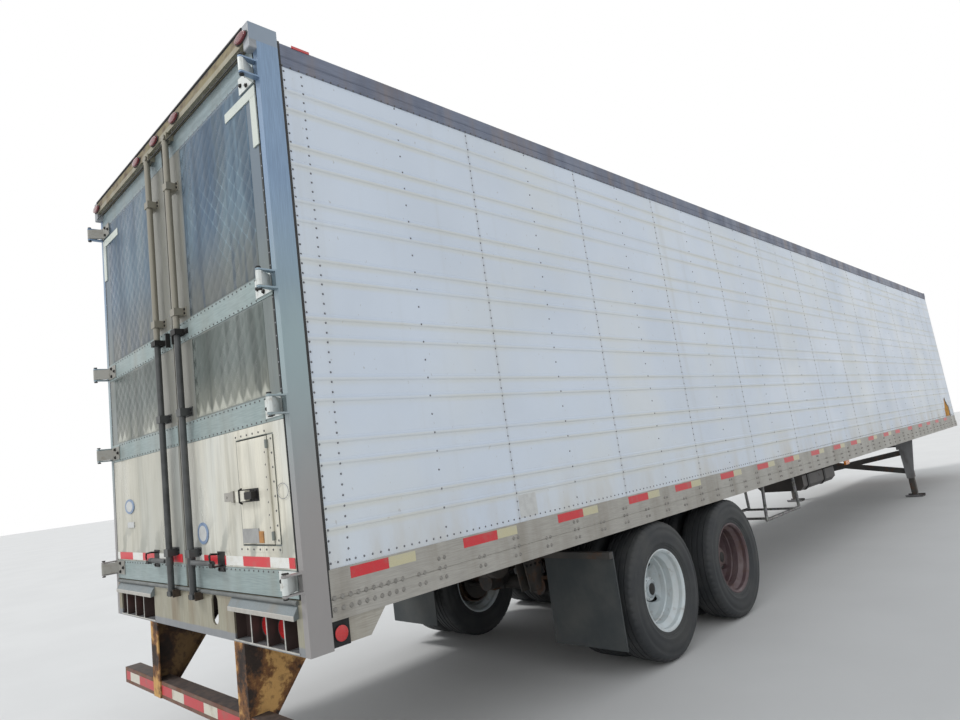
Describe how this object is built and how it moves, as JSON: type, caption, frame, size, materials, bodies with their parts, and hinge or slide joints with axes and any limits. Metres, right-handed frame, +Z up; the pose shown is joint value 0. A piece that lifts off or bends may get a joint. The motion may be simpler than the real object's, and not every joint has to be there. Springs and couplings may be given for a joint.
{
  "type": "refrigerated box semi trailer",
  "caption": "Refrigerated box semi trailer with hinged rear doors, a vent hatch, twin-tyred tandem axles, landing legs, a kingpin and a nose-mounted refrigeration unit.",
  "frame": {"origin": "on the ground under the middle of the trailer's length and width", "axes": "+X to the nose, +Y to the left side, +Z up"},
  "size_m": [16.691, 2.591, 4],
  "materials": {
    "white_panel": "satin",
    "stainless": "satin",
    "door_skin": "embossed",
    "band_metal": "satin",
    "rail_aluminium": "matt",
    "top_rail_aluminium": "matt",
    "floor_aluminium": "worn",
    "chassis_black": "worn",
    "rusty_steel": "rusty",
    "galvanised": "dull",
    "tyre_rubber": "matt",
    "rim_white": "worn",
    "rim_rusty": "rusty",
    "flap_rubber": "matt",
    "unit_white": "gloss",
    "unit_black": "matt",
    "engine_iron": "matt",
    "lamp_red": "gloss",
    "tank_grey": "worn",
    "kingpin_steel": "greased"
  },
  "bodies": {
    "trailer": {"side_wall_left": "white_panel", "side_wall_right": "white_panel", "front_wall": "white_panel", "roof": "white_panel", "cargo_floor": "floor_aluminium", "top_rail_left": "top_rail_aluminium", "top_rail_right": "top_rail_aluminium", "front_top_rail": "top_rail_aluminium", "bottom_rail_left": "rail_aluminium", "bottom_rail_right": "rail_aluminium", "front_bottom_rail": "rail_aluminium", "crossmembers": "galvanised", "coupler_box": "chassis_black", "coupler_plate": "rusty_steel", "kingpin": "kingpin_steel", "rear_post_left": "stainless", "rear_post_right": "stainless", "rear_header": "stainless", "rear_sill": "stainless", "light_boxes": "stainless", "tail_lamps": "lamp_red", "marker_lamps": "lamp_red", "side_lamp_left": "unit_black", "side_lamp_right": "unit_black", "guard_posts": "rusty_steel", "guard_bar": "rusty_steel", "axle_rear": "chassis_black", "axle_front": "chassis_black", "leaf_springs": "rusty_steel", "slider_frame": "chassis_black", "mud_flap_left": "flap_rubber", "mud_flap_right": "flap_rubber", "landing_leg_left": "chassis_black", "landing_leg_right": "chassis_black", "leg_braces": "chassis_black", "tube_rack": "galvanised", "air_tanks": "chassis_black", "fuel_tank": "tank_grey", "tank_straps": "galvanised", "unit_shell": "unit_white", "unit_louvres": "unit_black", "unit_engine": "engine_iron"},
    "right_door": {"door_right": "door_skin", "hinge_bands_right": "band_metal", "lock_rod_right": "galvanised"},
    "left_door": {"door_left": "door_skin", "hinge_bands_left": "band_metal", "lock_rod_left": "galvanised"},
    "vent": {"vent_hatch": "door_skin"},
    "rear_left_wheels": {"tyres_rear_left": "tyre_rubber", "wheels_rear_left": "rim_white"},
    "rear_right_wheels": {"tyres_rear_right": "tyre_rubber", "wheels_rear_right": "rim_white"},
    "front_left_wheels": {"tyres_front_left": "tyre_rubber", "wheels_front_left": "rim_rusty"},
    "front_right_wheels": {"tyres_front_right": "tyre_rubber", "wheels_front_right": "rim_rusty"}
  },
  "joints": [
    {"name": "right_door_hinge", "type": "hinge", "parent": "trailer", "child": "right_door", "pos_m": [-8.3305, -1.28, 2.5], "axis": [0, 0, 1], "range_deg": [0, 270]},
    {"name": "left_door_hinge", "type": "hinge", "parent": "trailer", "child": "left_door", "pos_m": [-8.3305, 1.28, 2.5], "axis": [0, 0, -1], "range_deg": [0, 270]},
    {"name": "vent_hinge", "type": "hinge", "parent": "right_door", "child": "vent", "pos_m": [-8.2535, -1.072, 1.65], "axis": [0, 0, -1], "range_deg": [-150, 0]},
    {"name": "rear_left_wheels_spin", "type": "hinge", "parent": "trailer", "child": "rear_left_wheels", "pos_m": [-5.1555, 0.984, 0.507], "axis": [0, 1, 0], "continuous": true},
    {"name": "rear_right_wheels_spin", "type": "hinge", "parent": "trailer", "child": "rear_right_wheels", "pos_m": [-5.1555, -0.984, 0.507], "axis": [0, 1, 0], "continuous": true},
    {"name": "front_left_wheels_spin", "type": "hinge", "parent": "trailer", "child": "front_left_wheels", "pos_m": [-3.9005, 0.984, 0.507], "axis": [0, 1, 0], "continuous": true},
    {"name": "front_right_wheels_spin", "type": "hinge", "parent": "trailer", "child": "front_right_wheels", "pos_m": [-3.9005, -0.984, 0.507], "axis": [0, 1, 0], "continuous": true}
  ]
}
